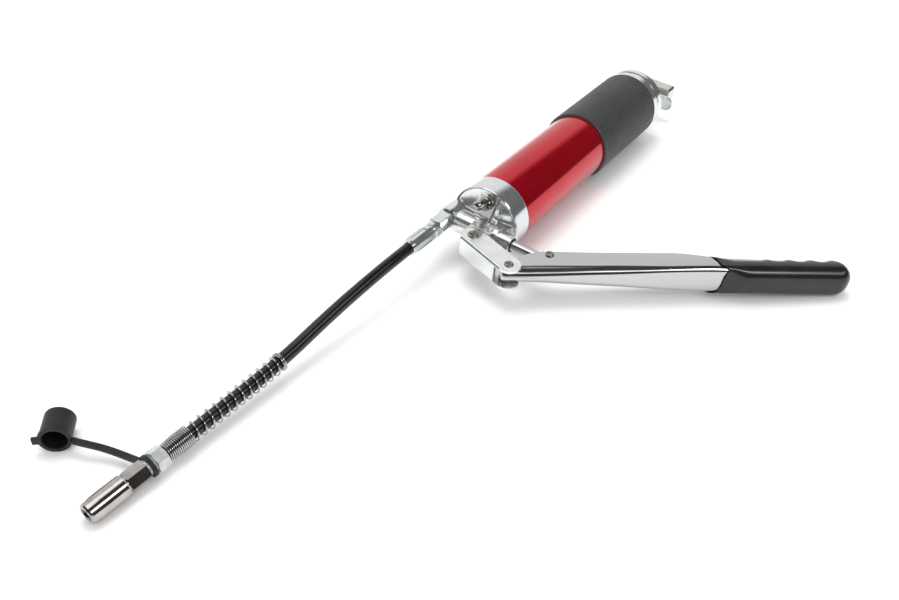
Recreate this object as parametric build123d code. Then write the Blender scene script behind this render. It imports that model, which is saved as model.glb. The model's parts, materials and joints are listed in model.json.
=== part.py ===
"""Lever grease gun for 400 g cartridges, lying on its side on a bench, in millimetres.

The gun is built in its own frame: X runs forward along the barrel, Y points to the lever
side, Z is square to the plane in which the lever swings, and X is 0 at the front edge of
the barrel collar. It is then rolled about the barrel axis until the lever grip touches the
bench, and set down so that Z is 0 on the bench. The hose lies free and is built on the bench.
"""
from build123d import *
import math
import os

# ---------------------------------------------------------------- driving dimensions
ROLL = 4.3                  # the gun lies rolled this far, lever side down
SLEEVE_R = 30.65            # grip sleeve on the barrel, which lies on the bench
BENCH_SHIFT = (117.0, -111.5, SLEEVE_R)   # gun frame origin in the row frame

TUBE_R, TUBE_WALL = 28.5, 1.5
TUBE_REAR, TUBE_FRONT = -254.0, -5.5
COLLAR_R, COLLAR_REAR = 29.5, -19.0
SLEEVE_REAR, SLEEVE_FRONT = -246.0, -147.0
CAP_REAR = -263.5
FLANGE_R = 28.1
FIT = 0.05                  # radial clearance of a running fit
PLAY = 0.3                  # gap between moving sheet parts

PUMP_X, PUMP_R = 12.5, 4.2  # plunger axis and radius
BEAM_R, BEAM_LEFT, BEAM_RIGHT, BOSS_R, BOSS_END = 9.5, -15.5, 22.0, 7.4, 34.0
OUTLET_Y, OUTLET_R, OUTLET_FACE = -24.5, 8.8, 15.5

PIN_HEAD = Vector(31.2, 9.2)     # head to link
PIN_LINK = Vector(43.6, 49.4)    # link to lever
PIN_PLUNGER = Vector(PUMP_X, 66.0)  # lever to plunger
PIN_R = 2.5
LINK_HALF, LINK_SHEET, LINK_FOLD = 9.0, 2.0, 2.4
LEVER_SHEET = 1.8
LEVER_ANGLE = 128.6         # direction of the lever from +X
LEVER_LENGTH = 250.0        # from the link pin to the end of the steel
GRIP_FROM, GRIP_TO = 150.0, 262.5

ROD_R, ROD_FRONT, ROD_REAR = 3.5, -24.0, -301.0
FOLLOWER_X = -36.0          # rear face of the follower cup
WIRE_R = 1.0                # follower spring wire

HOSE_R = 4.75
HOSE_ROUTE = [              # X and Y as in the gun frame, Z from the bench
    (67.0, -24.43, 32.49), (95.0, -24.43, 32.49), (150.0, -28.4, 24.2), (200.0, -30.0, 15.3),
    (253.0, -32.3, 12.3), (299.5, -34.5, 10.1),
]
GUARD_WIRE_R, GUARD_R = 0.7, 6.6
GUARD_START, GUARD_COILS, GUARD_PITCH, GUARD_TAIL = 98.5, 12, 6.6, 18.5
COUPLER_R = 7.5

# ---------------------------------------------------------------- helpers
AXIS_X = Plane(origin=(0, 0, 0), x_dir=(0, 1, 0), z_dir=(1, 0, 0))
PUMP_AXIS = Plane(origin=(PUMP_X, 0, 0), x_dir=(0, 0, 1), z_dir=(0, 1, 0))
OUTLET_AXIS = Plane(origin=(0, OUTLET_Y, 0), x_dir=(0, 1, 0), z_dir=(1, 0, 0))
nodes = {}


def turned(profile, plane=AXIS_X):
    """Solid of revolution about the plane's Z axis, from (radius, distance) points."""
    face = make_face(Polyline([(r, 0, s) for r, s in profile], close=True))
    return plane.location * revolve(face, Axis.Z, 360)


def disc(radius, start, end, plane=AXIS_X, bore=0.0):
    """Cylinder or ring from start to end along the plane's Z axis."""
    return turned([(bore, start), (radius, start), (radius, end), (bore, end)], plane)


def hexagon(across_flats, start, end, plane, bore=0.0, chamfered=1.0):
    """Hexagonal prism with turned chamfers at both ends and a round bore."""
    prism = extrude(RegularPolygon(across_flats / 2, 6, major_radius=False), end - start)
    prism = plane.location * Pos(0, 0, start) * prism
    tip, wide = across_flats / 2 + 0.1, across_flats / 2 + 0.1 + chamfered
    low, high = start + chamfered * 0.6, end - chamfered * 0.6
    envelope = turned([(bore, start), (tip, start), (wide, low), (wide, high), (tip, end), (bore, end)], plane)
    return prism & envelope


def box_between(low, high):
    """Box given by its lowest and highest corners."""
    size = [h - l for l, h in zip(low, high)]
    centre = [(h + l) / 2 for l, h in zip(low, high)]
    return Pos(*centre) * Box(*size)


def upright(point, radius, half, bore=0.0):
    """Cylinder or ring standing across the lever plane, centred on it, at an (x, y) point."""
    plane = Plane(origin=(point.X, point.Y, 0), z_dir=(0, 0, 1))
    return disc(radius, -half, half, plane, bore)


def plate(outline, low, high):
    """Flat plate with an (x, y) outline between two heights."""
    face = make_face(Polyline([(x, y, low) for x, y in outline], close=True))
    return extrude(face, high - low, dir=(0, 0, 1))


def wire_coil(radius, wire_r, start, end, turns, plane):
    """Round-wire coil between two distances along the plane's Z axis."""
    height = end - start - 2 * wire_r
    coil = Helix(pitch=height / turns, height=height, radius=radius)
    section = Plane(origin=coil @ 0, z_dir=coil % 0) * Circle(wire_r)
    return plane.location * Pos(0, 0, start + wire_r) * sweep(section, path=coil, is_frenet=True)


def set_down(shape):
    """From the gun's frame to the row frame."""
    return Pos(*BENCH_SHIFT) * Rot(-ROLL, 0, 0) * shape


def add(name, shape):
    """Keeps a finished node of the gun, moved to the row frame."""
    nodes[name] = set_down(shape)


def add_on_bench(name, shape):
    """Keeps a finished node of the free hose, which is built on the bench."""
    nodes[name] = Pos(BENCH_SHIFT[0], BENCH_SHIFT[1], 0) * shape


# ---------------------------------------------------------------- barrel
def barrel_tube():
    return disc(TUBE_R, TUBE_REAR, TUBE_FRONT, bore=TUBE_R - TUBE_WALL)


def barrel_collar():
    """Plated collar crimped round the front of the tube, with a rolled front lip."""
    inner, lip = TUBE_R + 0.02, FLANGE_R + PLAY
    return turned([
        (inner, COLLAR_REAR), (COLLAR_R - 0.4, COLLAR_REAR), (COLLAR_R, COLLAR_REAR + 0.5),
        (COLLAR_R, -0.8), (COLLAR_R - 0.8, 0), (lip, 0), (lip, -3.0), (inner, -3.0),
    ])


def grip_sleeve():
    inner = TUBE_R + 0.02
    return turned([
        (inner, SLEEVE_REAR), (SLEEVE_R - 0.8, SLEEVE_REAR), (SLEEVE_R, SLEEVE_REAR + 1),
        (SLEEVE_R, SLEEVE_FRONT - 1), (SLEEVE_R - 0.8, SLEEVE_FRONT), (inner, SLEEVE_FRONT),
    ])


def end_cap():
    """Pressed cap over the rear of the tube, stepped down to a boss that guides the rod."""
    inner, front, rear = TUBE_R + 0.02, SLEEVE_REAR - 0.3, CAP_REAR
    boss_r, boss_rear = 10.0, CAP_REAR - 4
    return turned([
        (inner, front), (29.8, front), (29.8, front - 7), (29.0, front - 7.6), (29.0, front - 8.8),
        (29.8, front - 9.4), (29.8, rear + 1.5), (28.8, rear + 0.4), (25.0, rear), (22.0, rear + 1.5),
        (boss_r + 4, rear + 1.5), (boss_r, rear - 0.5), (boss_r, boss_rear), (ROD_R + FIT, boss_rear),
        (ROD_R + FIT, rear + 4.5), (inner - 1.0, rear + 4.5), (inner - 1.0, TUBE_REAR - 0.05),
        (inner, TUBE_REAR - 0.05),
    ])


def barrel_gasket():
    return disc(TUBE_R - 0.2, TUBE_FRONT, TUBE_FRONT + 1.5, bore=26.8)


# ---------------------------------------------------------------- follower
def follower_rod():
    """Rod with a grooved stretch that the lock plate grips when it is drawn out."""
    groove = disc(ROD_R + 1, ROD_FRONT - 12, ROD_FRONT - 9, bore=ROD_R - 0.8)
    return disc(ROD_R, ROD_REAR, ROD_FRONT) - groove


def follower_cup():
    """Rubber cup with a thin lip that wipes the tube."""
    lip = TUBE_R - TUBE_WALL - 0.1
    x = FOLLOWER_X
    return turned([
        (ROD_R + 0.02, x), (lip - 1, x), (lip, x + 1), (lip, x + 8), (lip - 0.8, x + 11),
        (lip - 2.5, x + 11), (lip - 4, x + 4), (ROD_R + 0.02, x + 4),
    ])


def follower_washers():
    """Steel discs that clamp the cup: a dished one behind it and a flat one in front."""
    x = FOLLOWER_X
    behind = turned([
        (ROD_R + 0.02, x - 2), (22, x - 2), (22, x - 9), (23.2, x - 9), (23.2, x - 0.8),
        (22.4, x), (ROD_R + 0.02, x),
    ])
    return [behind, disc(17, x + 4, x + 5.5, bore=ROD_R + 0.02)]


def follower_nut():
    return hexagon(11, FOLLOWER_X + 5.5, FOLLOWER_X + 10.5, AXIS_X, ROD_R + 0.02)


def follower_spring():
    """Long compression spring behind the follower, closed at both ends."""
    return wire_coil(19.5, WIRE_R, CAP_REAR + 4.6, FOLLOWER_X - 2.1, 18, AXIS_X)


def pull_handle():
    """Channel of sheet steel across the rod's end, open towards the cap."""
    rear, depth, half_long, half_tall, sheet = ROD_REAR, 12.0, 25.5, 7.0, 1.8
    outer = box_between((rear, -half_long, -half_tall), (rear + depth, half_long, half_tall))
    inner = box_between((rear + sheet, -half_long + sheet, -half_tall + sheet),
                        (rear + depth + 1, half_long - sheet, half_tall - sheet))
    body = fillet((outer - inner).edges().filter_by(Axis.X).filter_by(
        lambda e: abs(abs(e.center().Y) - half_long) < 0.01), 3.0)
    return body - disc(ROD_R + 0.02, rear - 1, rear + sheet + 1)


def rod_lock_plate():
    """Plate round the rod behind the cap, with a round thumb end on the lever side."""
    reach, end_r, back, thick = 28.0, 6.8, CAP_REAR - 13.5, 2.0
    blank = box_between((back, -9, -end_r), (back + thick, reach, end_r))
    blank += disc(end_r, back, back + thick, Plane(origin=(0, reach, 0), x_dir=(0, 1, 0), z_dir=(1, 0, 0)))
    return blank - disc(ROD_R + 0.9, back - 1, back + thick + 1)


def lock_spring():
    """Coil that holds the lock plate off the cap, so that the plate bites the rod."""
    return wire_coil(5.6, 0.55, CAP_REAR - 11.4, CAP_REAR - 4.1, 3, AXIS_X)


# ---------------------------------------------------------------- head
VALVE_SEAT_X = 2.0          # step in the outlet bore that the check ball sits on
VENT_FACE = 22.0            # the vent valve's pad leans back this far
VENT_AXIS = Plane(origin=(2.0, 1.6, 18.3), x_dir=(0, 1, 0),
                  z_dir=(math.cos(math.radians(VENT_FACE)), 0, math.sin(math.radians(VENT_FACE))))


def head_spigot():
    """Ring on the back of the head that the barrel goes over."""
    return disc(26.6, -18.0, -6.0, bore=22.0)


def head_casting():
    """Die-cast head: flange, cross beam with the pump bore, outlet and fulcrum."""
    body = turned([
        (0, -6), (26.6, -6), (26.6, -4), (FLANGE_R, -4), (FLANGE_R, -1.5),
        (27.5, -0.9), (21, 0.1), (12, 1.4), (0, 2.0),
    ])
    body += disc(BEAM_R, BEAM_LEFT, BEAM_RIGHT, PUMP_AXIS)
    body += disc(BOSS_R, BEAM_RIGHT - 2, BOSS_END, PUMP_AXIS)
    body += disc(OUTLET_R + 0.2, 0.05, OUTLET_FACE, OUTLET_AXIS)
    body += disc(OUTLET_R + 0.2, -2.8, 0.1, OUTLET_AXIS) & disc(27.9, -3, 1)
    body += box_between((-1, BEAM_LEFT - 4, -6.5), (PUMP_X, 25, 6.5))
    fulcrum_half = LINK_HALF - LINK_SHEET - PLAY
    tongue_y = PIN_HEAD.Y
    body += box_between((PUMP_X, tongue_y - 6.3, -fulcrum_half), (PIN_HEAD.X, tongue_y + 6.3, fulcrum_half))
    body += upright(PIN_HEAD, 6.3, fulcrum_half)
    shoulder = box_between((PUMP_X, tongue_y - 9, -LINK_HALF), (26, tongue_y + 9, LINK_HALF))
    shoulder -= upright(PIN_HEAD, LINK_HALF + 0.6, LINK_HALF + 5)
    swept = (PIN_LINK - PIN_HEAD).rotate(Axis.Z, 4).normalized() * 30
    side = Vector(-swept.Y, swept.X).normalized() * (LINK_HALF + 0.6)
    corners = [PIN_HEAD + side, PIN_HEAD + side + swept, PIN_HEAD - side + swept, PIN_HEAD - side]
    shoulder -= plate([(p.X, p.Y) for p in corners], -LINK_HALF - 1, LINK_HALF + 1)
    body += shoulder
    pad_left, pad_right = -6.5, 9.5
    pad = make_face(Polyline([(-2.4, pad_left, 6), (6.9, pad_left, 6), (-1.6, pad_left, 27)], close=True))
    body += extrude(pad, pad_right - pad_left, dir=(0, 1, 0))
    for side in (-1, 1):
        rib = make_face(Polyline([(-1, pad_right, side * 25), (-1, pad_right, side * 5),
                                  (17, pad_right, side * 5)], close=True))
        body += extrude(rib, 2.4, dir=(0, 1, 0))
    body -= disc(PUMP_R + FIT, -12.5, BOSS_END + 1, PUMP_AXIS)
    body -= disc(6.0, BOSS_END - 4, BOSS_END + 1, PUMP_AXIS)
    body -= disc(5.0, VALVE_SEAT_X, OUTLET_FACE + 1, OUTLET_AXIS)
    body -= disc(2.0, -2.6, VALVE_SEAT_X + 1, OUTLET_AXIS)
    body -= disc(1.5, OUTLET_Y, -9.0, Plane(origin=(-1, 0, 0), x_dir=(0, 0, 1), z_dir=(0, 1, 0)))
    body -= disc(1.5, -1.0, PUMP_X, Plane(origin=(0, -9, 0), x_dir=(0, 1, 0), z_dir=(1, 0, 0)))
    body -= disc(2.2, -6.0, PUMP_X, Plane(origin=(0, 8, 0), x_dir=(0, 1, 0), z_dir=(1, 0, 0)))
    body -= upright(PIN_HEAD, PIN_R + 0.02, 20)
    return body - disc(3.02, -8.0, 5.0, VENT_AXIS)


def plunger():
    """Ground steel plunger whose flattened end has a slot for the lever's pin."""
    rod = disc(PUMP_R, 12, PIN_PLUNGER.Y - 5, PUMP_AXIS)
    eye = upright(PIN_PLUNGER, 7.0, PUMP_R)
    eye += box_between((PUMP_X - PUMP_R, PIN_PLUNGER.Y - 8, -PUMP_R), (PUMP_X + PUMP_R, PIN_PLUNGER.Y, PUMP_R))
    slot = upright(PIN_PLUNGER, PIN_R + 1.2, 20)
    slot += upright(PIN_PLUNGER + Vector(2.2, 0), PIN_R + 1.2, 20)
    return rod + eye - slot


def plunger_seal():
    return disc(5.98, BOSS_END - 3.9, BOSS_END - 0.4, PUMP_AXIS, bore=PUMP_R + FIT)


def check_ball():
    return Pos(VALVE_SEAT_X + 1.68, OUTLET_Y, 0) * Sphere(2.6)


def check_spring():
    return wire_coil(2.3, 0.35, VALVE_SEAT_X + 3.4, VALVE_SEAT_X + 8.2, 3, OUTLET_AXIS)


def vent_body():
    """Vent valve body: knurled collar on the pad and a plain neck."""
    collar = turned([(1.3, 0.02), (4.6, 0.02), (5.3, 0.7), (5.3, 4.2), (4.7, 4.8), (1.3, 4.8)], VENT_AXIS)
    flutes = 18
    for i in range(flutes):
        collar -= VENT_AXIS.location * Rot(0, 0, 360 / flutes * i) * (Pos(5.5, 0, 2.4) * Box(1.0, 0.7, 6))
    return collar + disc(3.0, -6, 0.5, VENT_AXIS, 1.3) + disc(2.1, 4.6, 8.5, VENT_AXIS, 1.3)


def vent_spring():
    return wire_coil(2.65, 0.3, 5.0, 13.5, 5, VENT_AXIS)


def vent_button():
    """Domed button on a stem, pressed to let trapped air out."""
    return turned([
        (0, -1.5), (1.25, -1.5), (1.25, 13.6), (3.2, 13.6), (3.2, 7.0), (3.9, 7.0), (3.9, 14.0), (3.5, 15.8),
        (2.4, 17.3), (0, 18.0),
    ], VENT_AXIS)


# ---------------------------------------------------------------- linkage
def link():
    """Short channel outside the lever's cheeks, closed on the side away from the barrel."""
    along = (PIN_LINK - PIN_HEAD).normalized()
    out = Vector(along.Y, -along.X)
    length = (PIN_LINK - PIN_HEAD).length
    edge, inner = LINK_HALF, LINK_HALF - LINK_SHEET

    def corner(a, o):
        p = PIN_HEAD + along * a + out * o
        return (p.X, p.Y)

    cheeks = plate([corner(0, -edge), corner(length, -edge), corner(length, edge), corner(0, edge)],
                   -LINK_HALF, LINK_HALF)
    cheeks += upright(PIN_HEAD, edge, LINK_HALF) + upright(PIN_LINK, edge, LINK_HALF)
    web_from, web_to = -4.0, length - 6.0
    cheeks += plate([corner(web_from, 0), corner(web_to, 0), corner(web_to, edge), corner(web_from, edge)],
                    -LINK_HALF, LINK_HALF)
    hollow = plate([corner(-20, -20), corner(length + 20, -20), corner(length + 20, 20), corner(web_to, 20),
                    corner(web_to, inner), corner(-20, inner)], -inner, inner)
    hollow -= plate([corner(web_from, inner), corner(web_to, inner), corner(web_to, 20),
                     corner(web_from, 20)], -inner, inner)
    body = cheeks - hollow
    for side in (-1, 1):
        wedge = make_face(Polyline([(edge + 1, side * (LINK_HALF + 1)), (edge + 1, side * (LINK_HALF - LINK_FOLD)),
                                    (edge, side * (LINK_HALF - LINK_FOLD)), (edge - LINK_FOLD, side * LINK_HALF),
                                    (edge - LINK_FOLD, side * (LINK_HALF + 1))], close=True))
        wedge -= Pos(edge - LINK_FOLD, side * (LINK_HALF - LINK_FOLD)) * Circle(LINK_FOLD)
        across = Plane(origin=(PIN_HEAD.X, PIN_HEAD.Y, 0), x_dir=(out.X, out.Y, 0), z_dir=(along.X, along.Y, 0))
        body -= extrude(across.location * Pos(0, 0, web_from - 1) * wedge, length + 5,
                        dir=(along.X, along.Y, 0))
    body -= upright(PIN_HEAD, PIN_R + FIT, 20)
    return body - upright(PIN_LINK, PIN_R + 0.02, 20)


LEVER_ALONG = Vector(math.cos(math.radians(LEVER_ANGLE)), math.sin(math.radians(LEVER_ANGLE)))
LEVER_PLANE = Plane(origin=(PIN_LINK.X, PIN_LINK.Y, 0), x_dir=(LEVER_ALONG.X, LEVER_ALONG.Y, 0),
                    z_dir=(0, 0, -1))
WEB_OUT = 5.9               # web's outer face beyond the pin line


def lever_half(a):
    """Half height of the lever channel at a distance from the link pin."""
    if a < 10:
        return LINK_HALF - LINK_SHEET - PLAY
    if a < GRIP_FROM:
        return LINK_HALF - LINK_SHEET - PLAY + (a - 10) * 0.0370
    return lever_half(GRIP_FROM - 0.01) - (a - GRIP_FROM) * 0.022


def lever_wedge(inset, o_low, o_high):
    """Solid between the lever's top and bottom, inset by a sheet thickness if asked."""
    stations = (-20, 10, GRIP_FROM, LEVER_LENGTH + 5)
    top = [(a, lever_half(a) - inset) for a in stations]
    outline = top + [(a, -h) for a, h in reversed(top)]
    face = make_face(Polyline([(a, o_low, h) for a, h in outline], close=True))
    return extrude(face, o_high - o_low, dir=(0, 1, 0))


def lever():
    """Pressed steel channel, open towards the barrel, tapering up to the grip."""
    cheek = [(2, -8.2), (11, -13.2), (22, -17.6), (40, -17.4), (70, -15.4), (131, -14.0),
             (156, -8.0), (LEVER_LENGTH, -7.0), (LEVER_LENGTH, WEB_OUT), (-5.8, WEB_OUT)]
    face = make_face(Polyline([(a, o, -20) for a, o in cheek], close=True))
    outline = extrude(face, 40, dir=(0, 0, 1)) + Pos(0, 0, -20) * Cylinder(8.3, 40, align=(
        Align.CENTER, Align.CENTER, Align.MIN))
    outline &= box_between((-20, -30, -30), (LEVER_LENGTH + 1, WEB_OUT, 30))
    solid = outline & lever_wedge(0, -30, 30)
    solid -= lever_wedge(LEVER_SHEET, -40, WEB_OUT - LEVER_SHEET)
    body = LEVER_PLANE.location * solid
    body -= upright(PIN_LINK, PIN_R + FIT, 20)
    return body - upright(PIN_PLUNGER, PIN_R + 0.02, 20)


def grip_section(a, half_wide, half_tall, corner):
    plane = Plane(origin=(a, 0.2, 0), x_dir=(0, 1, 0), z_dir=(1, 0, 0))
    return plane * RectangleRounded(2 * half_wide, 2 * half_tall, corner)


def lever_grip():
    """Vinyl sleeve over the lever's end, cut slanting at the mouth, ridged on the barrel side."""
    first, last, wide = lever_half(GRIP_FROM) + 1.2, 11.8, 9.6
    body = loft([grip_section(GRIP_FROM, wide + 1.5, first, 4), grip_section(GRIP_TO - 8, wide, last, 5)])
    body += loft([grip_section(GRIP_TO - 8, wide, last, 5), grip_section(GRIP_TO - 2.6, 7.6, 9.8, 5),
                  grip_section(GRIP_TO, 4.2, 6.4, 3.8)])
    ridges = 4
    for i in range(ridges):
        body += Pos(GRIP_FROM + 50 + i * 17, -5.0, 0) * Cylinder(6.0, 15)
    mouth = Plane(origin=(GRIP_FROM + 15.6, WEB_OUT, -first), x_dir=(0, 0, 1), z_dir=(-1, 0.70, -0.567))
    body -= mouth.location * Pos(0, 0, 30) * Box(120, 120, 60)
    steel = lever_wedge(-0.02, -10.0, WEB_OUT + 0.02)
    room = box_between((0, -10.0, -30), (156, WEB_OUT + 0.02, 30))
    room += box_between((155, -8.1, -30), (LEVER_LENGTH + 0.1, WEB_OUT + 0.02, 30))
    steel &= room
    return LEVER_PLANE.location * (body - steel)


def rivet(point, radius, half, head_r, head_h):
    """Pin with a shallow head at each end and a drilled dimple in each head."""
    plane = Plane(origin=(point.X, point.Y, 0), z_dir=(0, 0, 1))
    half_profile = [(head_r, half), (head_r - 0.3, half + head_h), (1.3, half + head_h), (1.3, half + 0.2)]
    top = [(radius, half)] + half_profile + [(0, half + 0.2)]
    bottom = [(r, -s) for r, s in reversed(top)]
    return turned(bottom + top, plane)


def lever_pins():
    """Pins carried by the head, the link and the lever, one node each."""
    outside = LINK_HALF + 0.05
    inside = lever_half((PIN_PLUNGER - PIN_LINK).dot(LEVER_ALONG) + 4) + 0.02
    add("fulcrum_pin", rivet(PIN_HEAD, PIN_R, outside, 4.2, 1.1))
    add("link_pin", rivet(PIN_LINK, PIN_R, outside, 3.6, 1.0))
    add("plunger_pin", rivet(PIN_PLUNGER, PIN_R, inside, 3.3, 0.9))


# ---------------------------------------------------------------- outlet and hose
def outlet_washer():
    return disc(OUTLET_R, OUTLET_FACE, OUTLET_FACE + 1.2, OUTLET_AXIS, bore=5.05)


def outlet_fitting():
    """Threaded stud, hexagon, neck and round collar that carry the hose."""
    face = OUTLET_FACE + 1.2
    body = hexagon(14, face, face + 16.5, OUTLET_AXIS, 1.8, 1.4)
    body += disc(4.98, VALVE_SEAT_X + 8.4, face + 1, OUTLET_AXIS, bore=1.8)
    return body + turned([
        (1.8, face + 16), (5.6, face + 16), (5.6, face + 18.5), (7.0, face + 19), (7.0, face + 22.3),
        (5.8, face + 22.8), (5.8, face + 24), (2.6, face + 24), (2.6, 66), (1.8, 66),
    ], OUTLET_AXIS)


def hose_ferrule():
    """Crimped ferrule with flats pressed round it."""
    start, end = OUTLET_FACE + 25.3, 67.0
    body = turned([
        (2.62, start), (6.2, start), (6.9, start + 1), (6.7, end - 6), (6.1, end - 0.6), (5.7, end),
        (HOSE_R + 0.05, end), (HOSE_R + 0.05, end - 0.5), (2.62, end - 0.5),
    ], OUTLET_AXIS)
    flats = 8
    for i in range(flats):
        plane = OUTLET_AXIS.location * Rot(0, 0, 360 / flats * i)
        body -= plane * (Pos(8.2, 0, (start + end) / 2 + 1) * Box(4, 3.2, end - start - 8))
    return body


def hose_path():
    """Straight runs joined by arcs as large as the runs allow."""
    points = [Vector(*p) for p in HOSE_ROUTE]
    radii = []
    for before, here, after in zip(points, points[1:], points[2:]):
        turn = (here - before).get_angle(after - here)
        shorter = min((here - before).length, (after - here).length)
        radii.append(0.45 * shorter / math.tan(math.radians(turn / 2)))
    print("hose radii", [round(r) for r in radii])
    return FilletPolyline(*points, radius=radii)


def hose():
    path = hose_path()
    section = Plane(origin=path @ 0, z_dir=path % 0) * Circle(HOSE_R)
    tube = sweep(section, path=path)
    print("hose length", round(path.length, 1), "volume share",
          round(tube.volume / (math.pi * HOSE_R ** 2 * path.length), 4))
    return tube


HOSE_END = Vector(*HOSE_ROUTE[-1])
HOSE_AIM = (HOSE_END - Vector(*HOSE_ROUTE[-2])).normalized()
COUPLER_AXIS = Plane(origin=HOSE_END, x_dir=(0, 1, 0), z_dir=HOSE_AIM)


def spring_guard():
    """Kink guard: open coils over the hose and a close-wound tail gripping the adapter."""
    coils = Helix(pitch=GUARD_PITCH, height=GUARD_PITCH * GUARD_COILS, radius=GUARD_R)
    section = Plane(origin=coils @ 0, z_dir=coils % 0) * Circle(GUARD_WIRE_R)
    wound = sweep(section, path=coils, is_frenet=True)
    open_coils = COUPLER_AXIS.location * Pos(0, 0, -GUARD_START) * wound
    tail_turns, inner = 14, HOSE_R + 0.1
    step = GUARD_TAIL / tail_turns
    ridges = []
    for i in range(tail_turns):
        s = -GUARD_TAIL + i * step
        crest = GUARD_R + GUARD_WIRE_R - 0.9 * max(0, (i - 7) / (tail_turns - 8))
        ridges += [(crest - 0.6, s), (crest, s + step * 0.3), (crest, s + step * 0.7)]
    tail = turned([(inner, -GUARD_TAIL)] + ridges + [(5.8, -0.05), (inner, -0.05)], COUPLER_AXIS)
    return [open_coils, tail]


def hose_adapter():
    """Hexagonal adapter between the hose end and the coupler, with a smooth neck."""
    body = hexagon(13.8, 0.0, 8.4, Plane(COUPLER_AXIS.location * Rot(0, 0, 30)), 1.8, 1.0)
    return body + disc(5.4, 7.9, 18.0, COUPLER_AXIS, 1.8)


def coupler_body():
    """Hexagonal coupler body with a stem that the jaws sit on."""
    body = hexagon(12.7, 14.0, 28.0, COUPLER_AXIS, 1.8, 1.6)
    body -= disc(5.42, 10, 18.05, COUPLER_AXIS)
    body += turned([(1.8, 27.9), (6.0, 27.9), (6.0, 34.0), (5.0, 35.0), (5.0, 40.0), (1.8, 40.0)], COUPLER_AXIS)
    return body


def coupler_sleeve():
    """Screwed sleeve whose nose closes the jaws on a grease nipple."""
    r = COUPLER_R
    return turned([
        (6.05, 28.6), (r - 0.6, 28.6), (r, 29.4), (r, 47.0), (r - 0.5, 54.0), (r - 1.1, 55.0),
        (r - 1.6, 55.4), (4.6, 55.4), (4.6, 54.2), (5.6, 51.0), (6.05, 47.0),
    ], COUPLER_AXIS)


def coupler_jaws():
    """Four jaw segments inside the sleeve's nose."""
    ring = turned([
        (3.4, 46.6), (5.6, 46.6), (5.5, 50.6), (4.5, 53.9), (4.5, 54.9), (3.4, 54.9),
    ], COUPLER_AXIS)
    for i in range(2):
        ring -= COUPLER_AXIS.location * Rot(0, 0, 45 + 90 * i) * (Pos(0, 0, 50) * Box(20, 0.6, 14))
    return ring.solids()


def coupler_seal():
    return disc(4.9, 43.6, 46.4, COUPLER_AXIS, bore=1.6)


def coupler_check():
    """Ball held behind the seal by a short spring bush."""
    ball = COUPLER_AXIS.location * Pos(0, 0, 41.9) * Sphere(1.6)
    return ball


STRAP_ROUTE = [(324.4, -91.0, 9.0), (321.4, -80.0, 9.9), (316.9, -70.0, 8.4), (313.3, -59.0, 7.0),
               (310.9, -42.4, 8.6)]
CAP_MOUTH, CAP_AIM, CAP_R, CAP_LENGTH = (331.0, -98.0, 10.4), (0.73, 0.683, 0.0), 10.0, 20.0


def coupler_cap():
    """Moulded rubber dust cap, its strap and the ring round the coupler's neck, in one piece."""
    axis = Plane(origin=CAP_MOUTH, x_dir=(0, 0, 1), z_dir=CAP_AIM)
    cap = turned([
        (0, -CAP_LENGTH), (CAP_R - 1, -CAP_LENGTH), (CAP_R - 0.2, -CAP_LENGTH + 0.8), (CAP_R - 0.2, -2.2),
        (CAP_R + 0.3, -2.0), (CAP_R + 0.3, 0), (COUPLER_R + 0.3, 0), (COUPLER_R + 0.3, -CAP_LENGTH + 2.2),
        (0, -CAP_LENGTH + 2.2),
    ], axis)
    tab = axis.location * Pos(0, CAP_R + 1.2, -1.1) * Box(5, 5, 2.0)
    tab -= axis.location * Cylinder(CAP_R - 0.2, 60)
    ring = disc(7.7, 9.9, 12.3, COUPLER_AXIS, bore=5.6)
    points = [Vector(*p) for p in STRAP_ROUTE]
    path = Spline(*points)
    section = Plane(origin=path @ 0, x_dir=(0, 0, 1), z_dir=path % 0) * Rectangle(1.8, 4.4)
    strap = sweep(section, path=path) - axis.location * Cylinder(CAP_R - 0.5, 60)
    return cap + tab + strap + ring


# ---------------------------------------------------------------- assembly
def gun_nodes():
    add("barrel_tube", barrel_tube())
    add("barrel_collar", barrel_collar())
    add("barrel_gasket", barrel_gasket())
    add("grip_sleeve", grip_sleeve())
    add("end_cap", end_cap())
    add("follower_rod", follower_rod())
    add("follower_cup", follower_cup())
    add("follower_washers", Compound(follower_washers()))
    add("follower_nut", follower_nut())
    add("follower_spring", follower_spring())
    add("pull_handle", pull_handle())
    add("rod_lock_plate", rod_lock_plate())
    add("lock_spring", lock_spring())
    add("head_casting", head_casting())
    add("head_spigot", head_spigot())
    add("plunger", plunger())
    add("plunger_seal", plunger_seal())
    add("check_ball", check_ball())
    add("check_spring", check_spring())
    add("vent_body", vent_body())
    add("vent_spring", vent_spring())
    add("vent_button", vent_button())
    add("link", link())
    add("lever", lever())
    add("lever_grip", lever_grip())
    lever_pins()


def hose_nodes():
    add("outlet_washer", outlet_washer())
    add("outlet_fitting", outlet_fitting())
    add("hose_ferrule", hose_ferrule())
    add_on_bench("hose", hose())
    add_on_bench("spring_guard", Compound(spring_guard()))
    add_on_bench("hose_adapter", hose_adapter())
    add_on_bench("coupler_body", coupler_body())
    add_on_bench("coupler_sleeve", coupler_sleeve())
    add_on_bench("coupler_jaws", Compound(coupler_jaws()))
    add_on_bench("coupler_seal", coupler_seal())
    add_on_bench("coupler_check", coupler_check())
    add_on_bench("coupler_cap", coupler_cap())


gun_nodes()
hose_nodes()
os.makedirs("parts", exist_ok=True)
for name, shape in nodes.items():
    solids = shape.solids()
    whole = solids[0] if len(solids) == 1 else Compound(solids)
    export_step(whole, f"parts/{name}.step")
    print(name, len(solids), whole.bounding_box())
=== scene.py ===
"""Lever grease gun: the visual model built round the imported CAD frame, with its studio and camera."""

import json
import math

import bmesh
import bpy
from mathutils import Matrix, Vector

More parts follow.
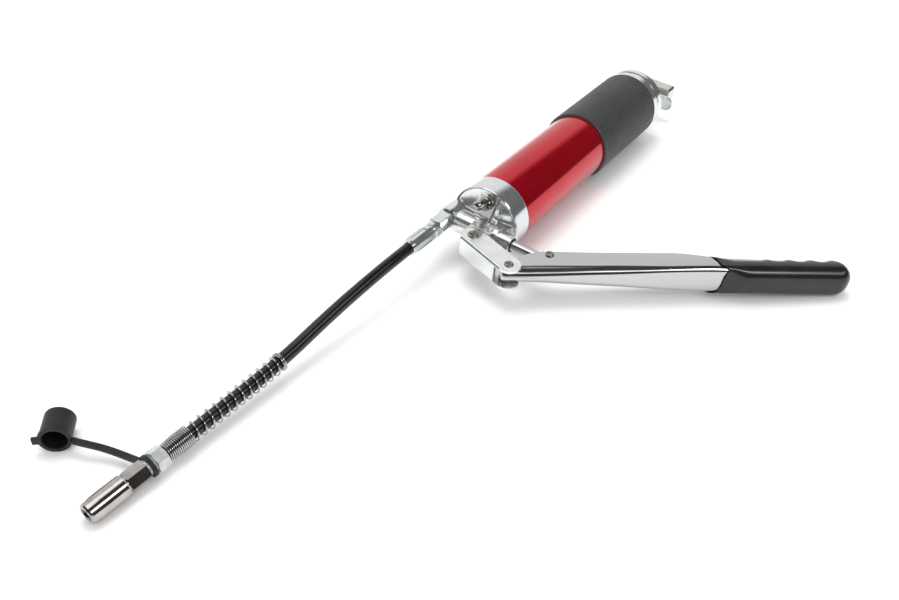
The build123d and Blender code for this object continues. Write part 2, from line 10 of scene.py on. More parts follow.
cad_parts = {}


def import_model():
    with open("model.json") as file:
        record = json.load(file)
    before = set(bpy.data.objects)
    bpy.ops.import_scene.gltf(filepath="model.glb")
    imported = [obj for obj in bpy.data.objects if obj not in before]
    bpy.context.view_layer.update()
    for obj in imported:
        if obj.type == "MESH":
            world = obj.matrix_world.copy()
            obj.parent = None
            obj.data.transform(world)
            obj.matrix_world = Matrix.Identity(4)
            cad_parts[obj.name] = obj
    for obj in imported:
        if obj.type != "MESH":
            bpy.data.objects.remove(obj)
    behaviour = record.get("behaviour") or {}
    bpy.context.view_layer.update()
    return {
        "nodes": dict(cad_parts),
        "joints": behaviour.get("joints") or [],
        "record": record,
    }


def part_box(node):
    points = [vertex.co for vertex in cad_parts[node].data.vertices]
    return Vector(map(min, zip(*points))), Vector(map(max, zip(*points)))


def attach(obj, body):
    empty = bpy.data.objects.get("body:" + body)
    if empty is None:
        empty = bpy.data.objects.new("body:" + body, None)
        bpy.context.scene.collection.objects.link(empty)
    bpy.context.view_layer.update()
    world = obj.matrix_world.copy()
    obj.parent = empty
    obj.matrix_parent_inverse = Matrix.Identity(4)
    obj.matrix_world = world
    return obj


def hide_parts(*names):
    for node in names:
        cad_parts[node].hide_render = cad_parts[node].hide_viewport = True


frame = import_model()
nodes = frame["nodes"]
joints = {j["name"]: j for j in frame["joints"]}
scene = bpy.context.scene

MM = 0.001

# ------------------------------------------------------------------ the gun's own frame
# X runs forward along the barrel, Y to the lever side, Z square to the plane the lever swings in.
X_AXIS = Vector((1, 0, 0))
Y_AXIS = Vector(joints["plunger_slide"]["axis"]).normalized()
Z_AXIS = Vector(joints["link_hinge"]["axis"]).normalized()
tube_low, tube_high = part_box("barrel_tube")
ORIGIN = Vector((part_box("barrel_collar")[1].x, (tube_low.y + tube_high.y) / 2,
                 (tube_low.z + tube_high.z) / 2))
GUN = (Matrix.Translation(ORIGIN) @ Matrix((X_AXIS, Y_AXIS, Z_AXIS)).transposed().to_4x4()
       @ Matrix.Scale(MM, 4))


def in_gun(point):
    """A point of the row frame, in metres, as millimetres in the gun's frame."""
    return GUN.inverted() @ Vector(point)


PIN_HEAD = in_gun(joints["link_hinge"]["pos_m"])
PIN_LINK = in_gun(joints["lever_hinge"]["pos_m"])


def along(origin, direction, hint=(0, 0, 1)):
    """Matrix in the gun's frame whose Z runs along a direction from an origin."""
    z = Vector(direction).normalized()
    x = (Vector(hint) - z * z.dot(Vector(hint))).normalized()
    y = z.cross(x)
    return Matrix.Translation(Vector(origin)) @ Matrix((x, y, z)).transposed().to_4x4()


BARREL = along((0, 0, 0), (1, 0, 0))

# ------------------------------------------------------------------ camera
CAMERA_AT = Vector((0.6179, 0.2060, 0.4258))
CAMERA_AZIMUTH, CAMERA_ELEVATION, CAMERA_ROLL = 35.0, 38.74, 0.32
LENS = 36.04


def add_camera():
    """Camera from its place, its bearing and height in degrees, and its roll."""
    az, el, roll = (math.radians(a) for a in (CAMERA_AZIMUTH, CAMERA_ELEVATION, CAMERA_ROLL))
    back = Vector((math.cos(az) * math.cos(el), math.sin(az) * math.cos(el), math.sin(el)))
    right = Vector((0, 0, 1)).cross(back).normalized()
    up = back.cross(right)
    right, up = (right * math.cos(roll) + up * math.sin(roll),
                 up * math.cos(roll) - right * math.sin(roll))
    data = bpy.data.cameras.new("camera")
    data.lens = LENS
    data.clip_start, data.clip_end = 0.01, 50
    camera = bpy.data.objects.new("camera", data)
    camera.matrix_world = Matrix.Translation(CAMERA_AT) @ Matrix((right, up, back)).transposed().to_4x4()
    scene.collection.objects.link(camera)
    scene.camera = camera


add_camera()


# ------------------------------------------------------------------ materials
def node_tree(name):
    """New material with its node tree and its shader."""
    made = bpy.data.materials.new(name)
    made.use_nodes = True
    tree = made.node_tree
    return made, tree, tree.nodes["Principled BSDF"]


def noise_at(tree, scale, stretch=(1, 1, 1), turn=(0, 0, 0), detail=3.0):
    """Noise over the object's own coordinates, stretched and turned."""
    place = tree.nodes.new("ShaderNodeTexCoord")
    mapping = tree.nodes.new("ShaderNodeMapping")
    mapping.vector_type = "TEXTURE"
    mapping.inputs["Rotation"].default_value = [math.radians(t) for t in turn]
    mapping.inputs["Scale"].default_value = stretch
    noise = tree.nodes.new("ShaderNodeTexNoise")
    noise.inputs["Scale"].default_value = scale
    noise.inputs["Detail"].default_value = detail
    tree.links.new(place.outputs["Object"], mapping.inputs["Vector"])
    tree.links.new(mapping.outputs["Vector"], noise.inputs["Vector"])
    return noise.outputs["Fac"]


def spread(tree, value, low, high, start=0.3, end=0.7):
    """A noise value mapped to a range."""
    ranged = tree.nodes.new("ShaderNodeMapRange")
    ranged.inputs["From Min"].default_value = start
    ranged.inputs["From Max"].default_value = end
    ranged.inputs["To Min"].default_value = low
    ranged.inputs["To Max"].default_value = high
    tree.links.new(value, ranged.inputs["Value"])
    return ranged.outputs["Result"]


def two_tone(tree, value, first, second):
    """Colour between two, by a value from 0 to 1."""
    mixed = tree.nodes.new("ShaderNodeMix")
    mixed.data_type = "RGBA"
    mixed.inputs["A"].default_value = (*first, 1)
    mixed.inputs["B"].default_value = (*second, 1)
    tree.links.new(value, mixed.inputs["Factor"])
    return mixed.outputs["Result"]


def relief(tree, shader, layers):
    """Bumps from (value, depth in millimetres) layers."""
    last = None
    for value, depth in layers:
        bump = tree.nodes.new("ShaderNodeBump")
        bump.inputs["Strength"].default_value = 1.0
        bump.inputs["Distance"].default_value = depth * MM
        tree.links.new(value, bump.inputs["Height"])
        if last:
            tree.links.new(last, bump.inputs["Normal"])
        last = bump.outputs["Normal"]
    tree.links.new(last, shader.inputs["Normal"])


def surface(name, first, second, rough, metallic=0.0, cloud=60.0, stretch=(1, 1, 1), turn=(0, 0, 0),
            grain=900.0, grain_stretch=(1, 1, 1), depth=0.01, coat=0.0, specular=0.5):
    """Material with clouded colour, varied roughness and a fine grain."""
    made, tree, shader = node_tree(name)
    shader.inputs["Metallic"].default_value = metallic
    shader.inputs["Coat Weight"].default_value = coat
    shader.inputs["Coat Roughness"].default_value = 0.03
    shader.inputs["Specular IOR Level"].default_value = specular
    clouds = noise_at(tree, cloud, stretch, turn)
    fine = noise_at(tree, grain, grain_stretch, turn, 2.0)
    tree.links.new(two_tone(tree, spread(tree, clouds, 0, 1), first, second), shader.inputs["Base Color"])
    tree.links.new(spread(tree, fine, rough[0], rough[1]), shader.inputs["Roughness"])
    relief(tree, shader, [(fine, depth)])
    return made


LEVER_TURN = 128.6
SLEEVE_RIBS = 96
LACQUER = surface("red_lacquer", (0.44, 0.002, 0.012), (0.50, 0.003, 0.016),
                  (0.10, 0.15), 0.66, 25, grain=160, depth=0.001, coat=0.38)
ZINC = surface("zinc_plate", (0.66, 0.70, 0.72), (0.75, 0.76, 0.76),
               (0.10, 0.20), 0.90, 60, grain=900, grain_stretch=(5, 1, 1), depth=0.003)
CAST = surface("cast_zinc", (0.70, 0.73, 0.72), (0.84, 0.85, 0.83),
               (0.12, 0.24), 0.92, 90, grain=420, depth=0.016)
LEVER = surface("lever_plate", (0.52, 0.52, 0.53), (0.57, 0.57, 0.57),
                (0.09, 0.15), 1.0, 50, (8, 1, 1), (0, 0, LEVER_TURN), 900, (20, 1, 1), 0.003)
STEEL = surface("bright_steel", (0.60, 0.60, 0.61), (0.70, 0.69, 0.68),
                (0.06, 0.12), 1.0, 120, grain=1500, depth=0.001)
PIN = surface("pin_steel", (0.22, 0.21, 0.20), (0.42, 0.40, 0.38),
              (0.16, 0.28), 1.0, 300, grain=1800, depth=0.006)
NICKEL = surface("dark_nickel", (0.40, 0.38, 0.36), (0.54, 0.52, 0.50),
                 (0.05, 0.12), 1.0, 150, grain=1400, depth=0.002)
WIRE = surface("spring_wire", (0.40, 0.40, 0.39), (0.56, 0.55, 0.54),
               (0.08, 0.18), 1.0, 200, grain=1500, depth=0.003)
WARM = surface("warm_nickel", (0.56, 0.53, 0.51), (0.68, 0.66, 0.64),
               (0.16, 0.28), 1.0, 80, grain=1000, depth=0.006)
ETCHED = surface("etched_zinc", (0.50, 0.52, 0.53), (0.72, 0.74, 0.75),
                 (0.30, 0.48), 0.60, 420, grain=700, depth=0.030)
SLEEVE = surface("sleeve_rubber", (0.075, 0.075, 0.076), (0.095, 0.095, 0.095),
                 (0.36, 0.50), 0.0, 90, grain=1600, depth=0.02)


def paint_groove_shade(made, ribs):
    """Painted shade between ribs that run along the barrel: near-black colour in the grooves, following
    the angle round its axis.
    """
    tree = made.node_tree
    shader = tree.nodes["Principled BSDF"]
    colour = shader.inputs["Base Color"].links[0].from_socket
    place = tree.nodes.new("ShaderNodeTexCoord")
    mapping = tree.nodes.new("ShaderNodeMapping")
    mapping.vector_type = "TEXTURE"
    mapping.inputs["Location"].default_value = ORIGIN
    mapping.inputs["Rotation"].default_value = GUN.to_quaternion().to_euler()
    parts = tree.nodes.new("ShaderNodeSeparateXYZ")
    tree.links.new(place.outputs["Object"], mapping.inputs["Vector"])
    tree.links.new(mapping.outputs["Vector"], parts.inputs[0])
    last = None
    for kind, second in (("ARCTAN2", parts.outputs["Z"]), ("MULTIPLY", float(ribs)), ("COSINE", None)):
        step = tree.nodes.new("ShaderNodeMath")
        step.operation = kind
        tree.links.new(last or parts.outputs["Y"], step.inputs[0])
        if isinstance(second, float):
            step.inputs[1].default_value = second
        elif second:
            tree.links.new(second, step.inputs[1])
        last = step.outputs[0]
    # Near-black painted shade, mixed into the base colour where the grooves fall.
    mixed = tree.nodes.new("ShaderNodeMix")
    mixed.data_type = "RGBA"
    mixed.inputs["B"].default_value = (0.002, 0.002, 0.002, 1)
    tree.links.new(colour, mixed.inputs["A"])
    tree.links.new(spread(tree, last, 0.0, 1.0, -0.3, 0.5), mixed.inputs["Factor"])
    tree.links.new(mixed.outputs["Result"], shader.inputs["Base Color"])


paint_groove_shade(SLEEVE, SLEEVE_RIBS)
VINYL = surface("grip_vinyl", (0.010, 0.010, 0.012), (0.016, 0.015, 0.017),
                (0.14, 0.22), 0.0, 60, grain=2200, depth=0.004)
HOSE = surface("hose_rubber", (0.004, 0.004, 0.004), (0.008, 0.008, 0.008),
               (0.16, 0.26), 0.0, 80, grain=1800, depth=0.004)
RUBBER = surface("cap_rubber", (0.008, 0.008, 0.009), (0.013, 0.013, 0.014),
                 (0.42, 0.58), 0.0, 110, grain=2000, depth=0.010, specular=0.35)
BY_SLOT = {
    "red_lacquer": LACQUER, "zinc_plate": ZINC, "cast_zinc": CAST, "lever_plate": LEVER,
    "bright_steel": STEEL, "dark_nickel": NICKEL, "spring_wire": WIRE, "warm_nickel": WARM,
    "sleeve_rubber": SLEEVE, "grip_vinyl": VINYL, "hose_rubber": HOSE, "cap_rubber": RUBBER,
}
SLOT_OF = {s["node"]: s["material_slot"] for s in frame["record"]["subparts"]}
BODY_OF = {n: body for body, members in frame["record"]["behaviour"]["bodies"].items() for n in members}


# ------------------------------------------------------------------ mesh helpers
def piece(name, verts, faces, place, material, node, sharp=35):
    """A mesh piece in the gun's frame with the given material, that takes its body from a CAD node, and
    stands for it.
    """
    mesh = bpy.data.meshes.new(name)
    mesh.from_pydata([GUN @ (place @ Vector(v)) for v in verts], [], faces)
    shaped = bmesh.new()
    shaped.from_mesh(mesh)
    bmesh.ops.remove_doubles(shaped, verts=shaped.verts, dist=0.002 * MM)
    bmesh.ops.recalc_face_normals(shaped, faces=shaped.faces)
    shaped.to_mesh(mesh)
    shaped.free()
    mesh.shade_smooth()
    mesh.set_sharp_from_angle(angle=math.radians(sharp))
    mesh.materials.append(material)
    made = bpy.data.objects.new(name, mesh)
    scene.collection.objects.link(made)
    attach(made, BODY_OF[node])
    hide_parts(node)
    return made


def eased(points, radius, steps=4):
    """Closed outline with its corners rounded off."""
    out = []
    count = len(points)
    for i, here in enumerate(points):
        here = Vector(here)
        to_last, to_next = Vector(points[i - 1]) - here, Vector(points[(i + 1) % count]) - here
        if abs(here[0]) < 1e-6 or to_last.length < 1e-6 or to_next.length < 1e-6:
            out.append(tuple(here))
            continue
        cut = min(radius, 0.4 * to_last.length, 0.4 * to_next.length)
        start, end = here + to_last.normalized() * cut, here + to_next.normalized() * cut
        for s in range(steps + 1):
            t = s / steps
            out.append(tuple(start * (1 - t) ** 2 + here * 2 * t * (1 - t) + end * t * t))
    return out


def lathe(profile, sides=160):
    """Vertices and faces of a solid of revolution about Z from a closed (radius, distance) outline."""
    count = len(profile)
    verts = []
    for k in range(sides):
        turn = 2 * math.pi * k / sides
        verts += [(r * math.cos(turn), r * math.sin(turn), s) for r, s in profile]
    faces = []
    for k in range(sides):
        here, there = k * count, (k + 1) % sides * count
        for i in range(count):
            j = (i + 1) % count
            if profile[i][0] < 1e-6 and profile[j][0] < 1e-6:
                continue
            faces.append((here + i, there + i, there + j, here + j))
    return verts, faces


def loft(rings, capped=True):
    """Vertices and faces of closed rings with equal counts joined in order."""
    count = len(rings[0])
    verts = [v for ring in rings for v in ring]
    faces = []
    for r in range(len(rings) - 1):
        for i in range(count):
            j = (i + 1) % count
            faces.append((r * count + i, r * count + j, (r + 1) * count + j, (r + 1) * count + i))
    if capped:
        faces.append(tuple(range(count)))
        faces.append(tuple(range((len(rings) - 1) * count, len(rings) * count)))
    return verts, faces


def soft_between(stations, value):
    """Smooth value between (position, value) stations."""
    if value <= stations[0][0]:
        return stations[0][1]
    for (a, va), (b, vb) in zip(stations, stations[1:]):
        if value <= b:
            t = (value - a) / (b - a)
            t = t * t * (3 - 2 * t)
            return va + (vb - va) * t
    return stations[-1][1]


# ------------------------------------------------------------------ barrel
TUBE_R = (tube_high.z - tube_low.z) / 2 / MM
TUBE_REAR, TUBE_FRONT = in_gun(tube_low).x, in_gun(tube_high).x
sleeve_low, sleeve_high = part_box("grip_sleeve")
SLEEVE_R = (sleeve_high.z - sleeve_low.z) / 2 / MM
SLEEVE_REAR, SLEEVE_FRONT = in_gun(sleeve_low).x, in_gun(sleeve_high).x


def barrel():
    """Lacquered tube, and the plated collar on its front end."""
    bore = TUBE_R - 1.5
    profile = [(bore, TUBE_REAR), (TUBE_R, TUBE_REAR), (TUBE_R, TUBE_FRONT), (bore, TUBE_FRONT)]
    piece("barrel_tube_red", *lathe(eased(profile, 0.4), 192), BARREL, LACQUER, "barrel_tube")
    inner, lip, outer = TUBE_R + 0.02, TUBE_R - 0.1, 29.5
    rear = in_gun(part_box("barrel_collar")[0]).x
    collar = [(inner, rear), (outer - 0.3, rear), (outer, rear + 0.6), (outer, -1.0), (outer - 0.5, -0.1),
              (lip + 0.2, 0), (lip, -0.4), (lip, -3.0), (inner, -3.0)]
    piece("collar_plated", *lathe(eased(collar, 0.5), 192), BARREL, ZINC, "barrel_collar")


def ribbed_sleeve():
    """Rubber sleeve with fine ribs along it and a plain band at each end."""
    rib = (0.0, 0.10, 0.95, 1.0, 0.95, 0.10)
    groove, plain = 0.85, 2.0
    count = SLEEVE_RIBS * len(rib)
    base, band, inner = SLEEVE_R - groove, SLEEVE_R - 0.02, TUBE_R + 0.02
    end = [(0, inner), (0, SLEEVE_R - 0.9), (0.25, SLEEVE_R - 0.3), (0.9, band), (plain - 0.4, band)]
    rows = [(SLEEVE_REAR + x, radius) for x, radius in end] + [(SLEEVE_REAR + plain, None)]
    rows += [(SLEEVE_FRONT - plain, None)] + [(SLEEVE_FRONT - x, radius) for x, radius in reversed(end)]
    rings = []
    for x, radius in rows:
        ring = []
        for i in range(count):
            r = radius or base + groove * rib[i % len(rib)]
            turn = 2 * math.pi * i / count
            ring.append((r * math.cos(turn), r * math.sin(turn), x))
        rings.append(ring)
    verts, faces = loft(rings, capped=False)
    last = (len(rings) - 1) * count
    faces += [(i, last + i, last + (i + 1) % count, (i + 1) % count) for i in range(count)]
    piece("sleeve_ribbed", verts, faces, BARREL, SLEEVE, "grip_sleeve", sharp=50)


# ------------------------------------------------------------------ lever and grip
LEVER_ALONG = Vector((math.cos(math.radians(LEVER_TURN)), math.sin(math.radians(LEVER_TURN)), 0))
LEVER_OUT = Vector((LEVER_ALONG.y, -LEVER_ALONG.x, 0))
LEVER_PLACE = (Matrix.Translation(PIN_LINK)
               @ Matrix((LEVER_ALONG, LEVER_OUT, (0, 0, 1))).transposed().to_4x4())
WEB_OUT, SHEET = 5.9, 1.8
LEVER_END = 250.0
HALF_HEIGHT = [(-9, 6.7), (10, 6.7), (50, 8.2), (93, 9.8), (137, 11.5), (150, 11.9), (250, 9.9)]
CHEEK_DEPTH = [(-6.5, 3.0), (-4, 6.5), (0, 8.2), (4, 9.6), (12, 14.2), (22, 17.4), (34, 17.8),
               (60, 16.2), (100, 14.9), (131, 14.0), (158, 8.0), (250, 7.0)]


def straight_between(stations, value):
    """Value on straight lines between (position, value) stations."""
    for (a, va), (b, vb) in zip(stations, stations[1:]):
        if value <= b:
            return va + (vb - va) * max(0.0, (value - a) / (b - a))
    return stations[-1][1]


def blended(stations, value, reach=6.0):
    """Straight lines between stations, softened at the corners."""
    samples = [straight_between(stations, value + reach * (k - 3) / 3) for k in range(7)]
    return sum(samples) / len(samples)


def lever():
    """Pressed channel with a rounded fold down each long edge."""
    steps = 10
    end_radius, edge = 4.0, 0.5
    rings = []
    a = -5.8
    while a <= LEVER_END:
        half, depth = blended(HALF_HEIGHT, a, 5), blended(CHEEK_DEPTH, a, 2.5 if a < 30 else 8)
        fold = soft_between([(20, 7.8), (70, 6.6), (125, 4.6), (200, 4.2)], a)
        curl = min(3.9, max(0.0, -2.0 - a))
        web = WEB_OUT - (end_radius - math.sqrt(end_radius ** 2 - curl * curl))
        outer, inner = [], []
        for side in (1, -1):
            arc = []
            for s in range(steps + 1):
                turn = math.pi / 2 * s / steps
                arc.append((web - fold + fold * math.sin(turn), half - fold + fold * math.cos(turn)))
            small = fold - SHEET
            thin = [(web - fold + small * math.sin(math.pi / 2 * s / steps),
                     half - fold + small * math.cos(math.pi / 2 * s / steps)) for s in range(steps + 1)]
            rim = [(-depth, half - SHEET + edge), (-depth, half - edge), (-depth + edge, half)]
            if side == 1:
                outer += rim + arc
                inner += [(-depth + edge, half - SHEET)] + thin
            else:
                outer += [(o, -h) for o, h in reversed(rim + arc)]
                inner += [(o, -h) for o, h in reversed([(-depth + edge, half - SHEET)] + thin)]
        ring = [(a, o, h) for o, h in outer] + [(a, o, h) for o, h in reversed(inner)]
        rings.append(ring)
        a += 0.4 if a < -1.5 else 1.2 if a < 34 else 3.0
    piece("lever_pressed", *loft(rings), LEVER_PLACE, LEVER, "lever", sharp=40)


GRIP_FROM, GRIP_TO = 150.0, 261.2
FINGER_RIDGES = [197.0, 214.0, 231.0, 248.0]


def grip():
    """Vinyl sleeve with a slanting mouth, ridges for the fingers and a rounded end."""
    around, rows = 96, 130
    mouth_run, end_radius = 18.0, 10.5
    ridge_reach, ridge_depth = 7.5, 2.0
    rings = []
    for row in range(rows + 1):
        t = row / rows
        ring = []
        for i in range(around):
            turn = 2 * math.pi * i / around
            c, s = math.cos(turn), math.sin(turn)
            mouth = 164.2 - 12.0 * max(0.0, (0.7 - c) / 1.4) - 6.4 * max(0.0, (0.7 - s) / 1.4)
            mouth = max(GRIP_FROM + 1.0, mouth)
            a = mouth + (GRIP_TO - mouth) * (1 - (1 - t) ** 1.25)
            near = 1 - min(1.0, (a - mouth) / mouth_run)
            near = near * near * (3 - 2 * near)
            shift = 0.2 + near * soft_between([(151, -2.3), (161, -1.2)], mouth)
            wide = 10.3 + near * soft_between([(151, -1.2), (161, -2.3)], mouth)
            tall = 12.6 + near * 0.5
            power = 0.80 - 0.36 * near
            o = shift + wide * math.copysign(abs(c) ** power, c)
            h = tall * math.copysign(abs(s) ** power, s)
            left = GRIP_TO - a
            if left < end_radius:
                shrink = math.sqrt(max(0.0, 1 - ((end_radius - left) / end_radius) ** 2))
                shrink = 0.02 + 0.98 * shrink
                o, h = shift + (o - shift) * shrink, h * shrink
            if c < -0.2:
                for ridge in FINGER_RIDGES:
                    reach = 1 - abs(a - ridge) / ridge_reach
                    if reach > 0:
                        swell = reach * reach * (3 - 2 * reach)
                        o -= ridge_depth * swell * min(1, (-c - 0.2) * 2.2)
            ring.append((a, o, h))
        rings.append(ring)
    lip = [[(a + 0.3, -1.4 + (o + 1.4) * 0.93, h * 0.94) for a, o, h in rings[0]],
           [(a + 8.0, -1.4 + (o + 1.4) * 0.90, h * 0.91) for a, o, h in rings[0]]]
    piece("grip_moulded", *loft([lip[1], lip[0], *rings]), LEVER_PLACE, VINYL, "lever_grip", sharp=60)


# ------------------------------------------------------------------ pins
def rivets():
    """Turned pin heads with a drilled dimple, the same at both ends of a pin."""
    for node, half, head_r, head_h in (("fulcrum_pin", 10.15, 4.2, 1.1), ("link_pin", 10.05, 3.6, 1.0),
                                       ("plunger_pin", 8.77, 3.3, 0.9)):
        low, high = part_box(node)
        place = Matrix.Translation(in_gun((low + high) / 2))
        seat = half - head_h
        top = [(2.5, seat), (head_r, seat), (head_r, seat + 0.35 * head_h),
               (head_r - 0.5, seat + head_h * 0.9), (2.3, seat + head_h), (1.9, seat + head_h * 0.5),
               (1.2, seat + head_h * 0.45), (0.9, seat - 0.6), (0, seat - 0.6)]
        profile = [(r, -s) for r, s in reversed(top)] + top
        piece(node + "_turned", *lathe(eased(profile, 0.25, 2), 64), place, PIN, node, sharp=50)


# ------------------------------------------------------------------ hose and kink guard
HOSE_ROUTE = [
    (0.184, -0.13593, 0.03249), (0.212, -0.13593, 0.03249), (0.267, -0.1399, 0.0242),
    (0.317, -0.1415, 0.0153), (0.370, -0.1438, 0.0123), (0.4165, -0.1460, 0.0101),
]
HOSE_R = 4.75


def curve_object(name, points, bevel):
    """Smooth NURBS line along points, with a round section."""
    data = bpy.data.curves.new(name, "CURVE")
    data.dimensions = "3D"
    data.resolution_u = 24
    data.bevel_depth = bevel
    data.bevel_resolution = 6
    data.use_fill_caps = bevel > 0
    spline = data.splines.new("NURBS")
    spline.points.add(len(points) - 1)
    for slot, point in zip(spline.points, points):
        slot.co = (*point, 1)
    spline.order_u = 3
    spline.use_endpoint_u = True
    made = bpy.data.objects.new(name, data)
    scene.collection.objects.link(made)
    return made


def centre_line(points):
    """Points along the hose's own smooth line, and the distance run at each."""
    bare = curve_object("hose_line", points, 0.0)
    mesh = bpy.data.meshes.new_from_object(bare)
    line = [v.co.copy() for v in mesh.vertices]
    bpy.data.objects.remove(bare)
    bpy.data.meshes.remove(mesh)
    run = [0.0]
    for a, b in zip(line, line[1:]):
        run.append(run[-1] + (b - a).length)
    return line, run


def point_at(line, run, distance):
    """Point and direction at a distance along a sampled line."""
    distance = max(0.0, min(run[-1], distance))
    for i in range(1, len(run)):
        if run[i] >= distance:
            t = (distance - run[i - 1]) / max(1e-9, run[i] - run[i - 1])
            return line[i - 1].lerp(line[i], t), (line[i] - line[i - 1]).normalized()
    return line[-1], (line[-1] - line[-2]).normalized()


def hose():
    """Rubber hose along its route."""
    made = curve_object("hose_rubber", HOSE_ROUTE, HOSE_R * MM)
    made.data.materials.append(HOSE)
    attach(made, "head")
    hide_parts("hose")
    return made


def kink_guard():
    """Wire guard: a double ring, open coils along the hose, and a close-wound tail that tapers."""
    line, run = centre_line(HOSE_ROUTE)
    end = run[-1]
    wire, start, tail, nose = 0.68, 0.0985, 0.0192, 0.010
    ring_turns, ring_pitch = 1.8, 0.0014
    open_turns, tail_turns = 12.2, 14.0
    steps = 24
    points, thick = [], []
    total = ring_turns + open_turns + tail_turns
    ring_end = start - ring_turns * ring_pitch
    for k in range(int(total * steps) + 1):
        turned = k / steps
        if turned < ring_turns:
            back = start - turned * ring_pitch
        elif turned < ring_turns + open_turns:
            back = ring_end - (turned - ring_turns) / open_turns * (ring_end - tail)
        else:
            back = tail - (turned - ring_turns - open_turns) * (tail - 0.0008) / tail_turns
        radius = 6.25 if back > tail else 6.6
        if back < nose:
            radius -= 0.9 * (nose - back) / nose
        centre, ahead = point_at(line, run, end - back)
        side = ahead.cross(Vector((0, 0, 1))).normalized()
        top = side.cross(ahead)
        turn = 2 * math.pi * turned
        points.append(centre + (side * math.cos(turn) + top * math.sin(turn)) * radius * MM)
        thick.append(0.95 if back > tail + 0.002 else 0.74)
    made = curve_object("guard_wire", points, wire * MM)
    for slot, share in zip(made.data.splines[0].points, thick):
        slot.radius = share
    made.data.resolution_u = 1
    made.data.bevel_resolution = 3
    made.data.materials.append(WIRE)
    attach(made, "head")
    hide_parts("spring_guard")
    return made


barrel()
ribbed_sleeve()
lever()
grip()
rivets()
hose_piece = hose()
guard_piece = kink_guard()

# ------------------------------------------------------------------ carried-over CAD nodes
# The casting gets the soft edges of a die casting.
remesh = nodes["head_casting"].modifiers.new("cast_skin", "REMESH")
remesh.mode = "VOXEL"
remesh.voxel_size = 0.36 * MM
remesh.use_smooth_shade = True
soften = nodes["head_casting"].modifiers.new("cast_rounding", "SMOOTH")
soften.factor, soften.iterations = 0.5, 5

OWN_MATERIAL = {"hose_adapter": ETCHED}
for node_name, cad in nodes.items():
    if cad.hide_render:
        continue
    material = OWN_MATERIAL.get(node_name, BY_SLOT[SLOT_OF[node_name]])
    cad.data.materials.clear()
    cad.data.materials.append(material)

DRAWN_ANEW = ("hose", "spring_guard")
on_hose = [guard_piece]
on_hose += [nodes[n] for n in frame["record"]["physics"]["cord_nodes"] if n not in DRAWN_ANEW]


# ------------------------------------------------------------------ studio
def studio():
    """Plain pale floor."""
    floor_mesh = bpy.data.meshes.new("floor")
    half = 6.0
    corners = [(-half, -half, 0), (half, -half, 0), (half, half, 0), (-half, half, 0)]
    floor_mesh.from_pydata(corners, [], [(0, 1, 2, 3)])
    made, tree, shader = node_tree("pale_floor")
    clouds = spread(tree, noise_at(tree, 3.0), 0, 1)
    tint = two_tone(tree, clouds, (0.93, 0.93, 0.93), (0.95, 0.95, 0.95))
    tree.links.new(tint, shader.inputs["Base Color"])
    shader.inputs["Roughness"].default_value = 0.6
    shader.inputs["Specular IOR Level"].default_value = 0.2
    floor_mesh.materials.append(made)
    floor = bpy.data.objects.new("floor", floor_mesh)
    scene.collection.objects.link(floor)


def area_light(name, at, aim, size, power):
    """Round lamp that shines from one point towards another."""
    data = bpy.data.lights.new(name, "AREA")
    data.shape = "DISK"
    data.size = size
    data.energy = power
    lamp = bpy.data.objects.new(name, data)
    back = (Vector(at) - Vector(aim)).normalized()
    lamp.matrix_world = Matrix.Translation(at) @ back.to_track_quat("Z", "Y").to_matrix().to_4x4()
    scene.collection.objects.link(lamp)
    return lamp


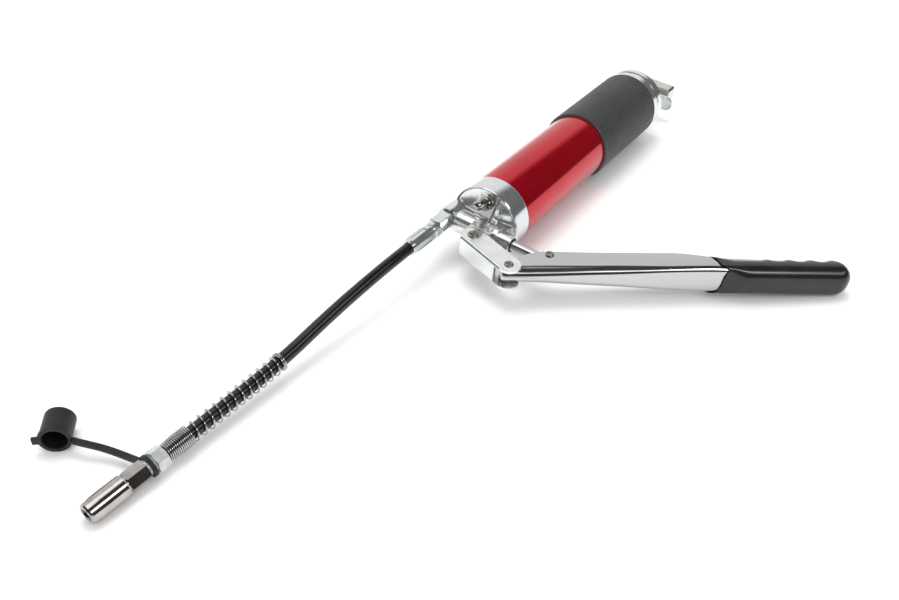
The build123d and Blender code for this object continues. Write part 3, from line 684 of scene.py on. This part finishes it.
def world():
    """Plain pale surroundings; shiny surfaces mirror lamps and screens with the dark between them."""
    made = bpy.data.worlds.new("studio")
    made.use_nodes = True
    scene.world = made
    tree = made.node_tree
    plain = tree.nodes["Background"]
    plain.inputs["Color"].default_value = (1, 1, 1, 1)
    plain.inputs["Strength"].default_value = 0.95
    mirrored = tree.nodes.new("ShaderNodeBackground")
    place = tree.nodes.new("ShaderNodeTexCoord")
    parts = tree.nodes.new("ShaderNodeSeparateXYZ")
    tree.links.new(place.outputs["Generated"], parts.inputs[0])

    def math_node(kind, first, second):
        node = tree.nodes.new("ShaderNodeMath")
        node.operation = kind
        for socket, value in zip(node.inputs, (first, second)):
            if isinstance(value, float):
                socket.default_value = value
            else:
                tree.links.new(value, socket)
        return node.outputs[0]

    def facing(bearing, height):
        """How closely a direction agrees with the one at this bearing and height, in degrees."""
        turn, tilt = math.radians(bearing), math.radians(height)
        total = None
        for axis, share in (("X", math.cos(tilt) * math.cos(turn)), ("Y", math.cos(tilt) * math.sin(turn)),
                            ("Z", math.sin(tilt))):
            term = math_node("MULTIPLY", parts.outputs[axis], share)
            total = math_node("ADD", total, term) if total else term
        return total

    # A lamp overhead, a long softbox on the lever's side, a backdrop behind and a screen on the far side.
    forward, across, up = parts.outputs["X"], parts.outputs["Y"], parts.outputs["Z"]
    overhead = spread(tree, facing(-85, 74), 0.0, 1.0, 0.90, 0.965)
    softbox = math_node("MULTIPLY", spread(tree, across, 0.0, 1.0, 0.57, 0.64),
                        math_node("MULTIPLY", spread(tree, up, 0.0, 1.0, 0.50, 0.62),
                                  spread(tree, up, 1.0, 0.0, 0.80, 0.88)))
    behind = math_node("ADD", math_node("MULTIPLY", forward, 0.57), math_node("MULTIPLY", across, 0.82))
    backdrop = math_node("MULTIPLY", spread(tree, behind, 0.80, 0.0, -0.52, -0.34),
                         spread(tree, up, 1.0, 0.25, 0.74, 0.84))
    right_side = math_node("MULTIPLY", spread(tree, across, 0.75, 0.0, -0.44, -0.30),
                           math_node("MULTIPLY", spread(tree, forward, 0.0, 1.0, 0.60, 0.68),
                                     spread(tree, up, 1.0, 0.0, 0.40, 0.56)))
    lamps, screens = math_node("MAXIMUM", overhead, softbox), math_node("MAXIMUM", backdrop, right_side)
    lit = math_node("MAXIMUM", lamps, screens)
    glare = math_node("ADD", math_node("MULTIPLY", overhead, 0.6), math_node("MULTIPLY", softbox, 1.6))
    level = math_node("ADD", spread(tree, lit, 0.05, 1.05, 0.0, 1.0), glare)
    tree.links.new(level, mirrored.inputs["Color"])
    mirrored.inputs["Strength"].default_value = 1.1
    rays = tree.nodes.new("ShaderNodeLightPath")
    mix = tree.nodes.new("ShaderNodeMixShader")
    tree.links.new(rays.outputs["Is Glossy Ray"], mix.inputs[0])
    tree.links.new(plain.outputs[0], mix.inputs[1])
    tree.links.new(mirrored.outputs[0], mix.inputs[2])
    tree.links.new(mix.outputs[0], tree.nodes["World Output"].inputs["Surface"])


studio()
world()
area_light("key", (-0.15, -0.45, 1.6), (0, 0, 0), 1.1, 14).visible_glossy = False
area_light("grip_softbox", (0.32, 1.06, 1.13), (0.04, 0.09, 0.03), 0.34, 2.2)
scene.view_settings.view_transform = "Standard"
scene.view_settings.look = "None"
